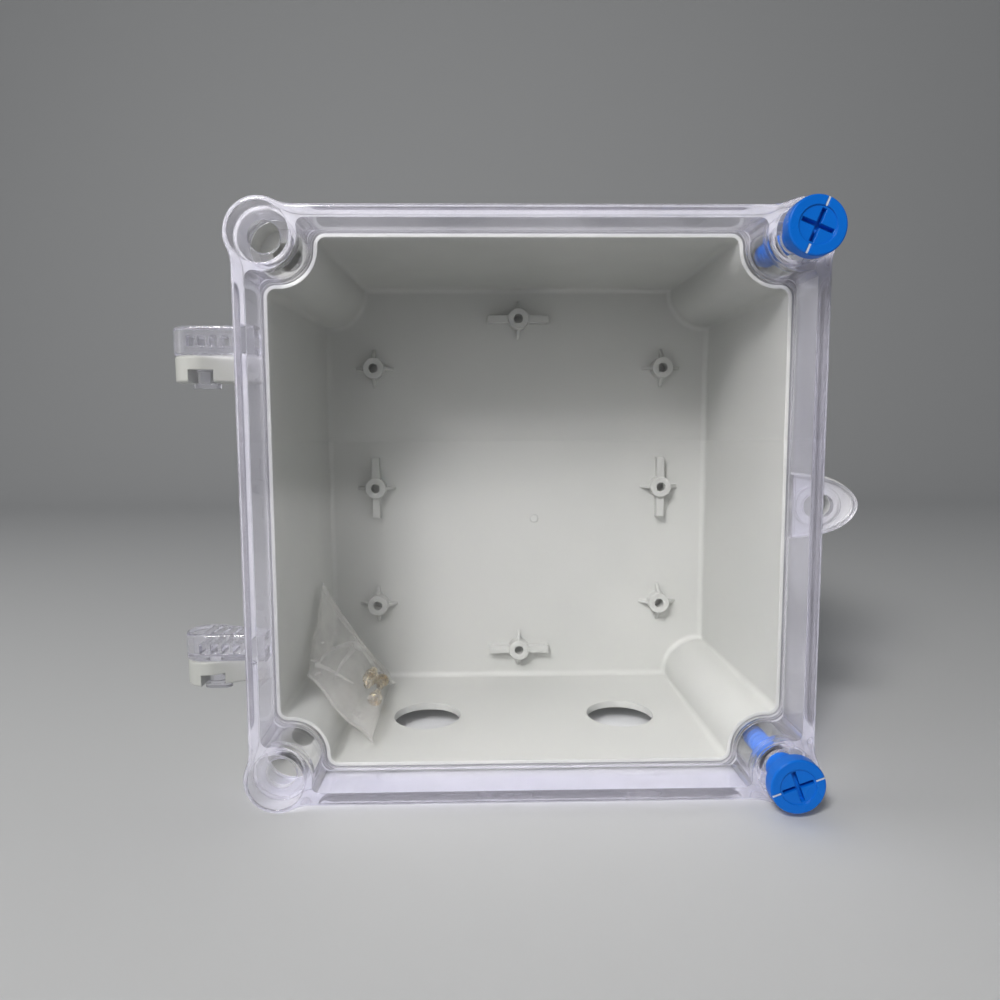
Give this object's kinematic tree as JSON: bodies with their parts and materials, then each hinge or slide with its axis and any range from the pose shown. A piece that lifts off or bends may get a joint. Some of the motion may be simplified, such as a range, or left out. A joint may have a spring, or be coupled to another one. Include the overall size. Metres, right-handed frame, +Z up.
{
  "type": "hinged junction box",
  "caption": "Deep plastic junction box with a clear lid that swings on keyed hinges, captive screws turned out at the right, a locking eye, cable entries below and a bag of small screws inside.",
  "frame": {"origin": "middle of the rear face that lies on the wall", "axes": "+X to the right as seen from the front, where the cover screws and the locking eye are, +Y into the wall, so that the lid faces -Y, +Z up"},
  "size_m": [0.2457, 0.129, 0.2072],
  "materials": {
    "case": "fine satin moulded light grey",
    "clear_lid": "clear polycarbonate, polished",
    "gasket": "foamed, matt",
    "cover_screw": "moulded blue, half gloss",
    "screw_ring": "smooth",
    "bag_film": "milky clear film",
    "small_screw": "yellow zinc plated"
  },
  "bodies": {
    "rear_case": {"rear_case": "case", "lid_gasket": "gasket", "accessory_bag": "bag_film", "accessory_screw_1": "small_screw", "accessory_screw_2": "small_screw", "accessory_screw_3": "small_screw", "accessory_screw_4": "small_screw"},
    "lid": {"lid": "clear_lid"},
    "upper_ring": {"upper_screw_ring": "screw_ring"},
    "upper_screw": {"upper_cover_screw": "cover_screw"},
    "lower_ring": {"lower_screw_ring": "screw_ring"},
    "lower_screw": {"lower_cover_screw": "cover_screw"}
  },
  "joints": [
    {"name": "lid_hinge", "type": "hinge", "parent": "rear_case", "child": "lid", "pos_m": [-0.1145, -0.097, 0], "axis": [0, 0, -1], "range_deg": [0, 180]},
    {"name": "upper_screw_travel", "type": "slide", "parent": "lid", "child": "upper_ring", "axis": [0, 1, 0], "range_m": [0, 0.009]},
    {"name": "upper_screw_turn", "type": "hinge", "parent": "upper_ring", "child": "upper_screw", "pos_m": [0.0887, -0.11, 0.092], "axis": [0, 1, 0], "range_deg": [0, 1080]},
    {"name": "lower_screw_travel", "type": "slide", "parent": "lid", "child": "lower_ring", "axis": [0, 1, 0], "range_m": [0, 0.009]},
    {"name": "lower_screw_turn", "type": "hinge", "parent": "lower_ring", "child": "lower_screw", "pos_m": [0.0887, -0.11, -0.092], "axis": [0, 1, 0], "range_deg": [0, 1080]}
  ],
  "couplings": [
    {"joint": "upper_screw_travel", "follows": "upper_screw_turn", "m_per_rad": 0.00047746},
    {"joint": "lower_screw_travel", "follows": "lower_screw_turn", "m_per_rad": 0.00047746}
  ]
}
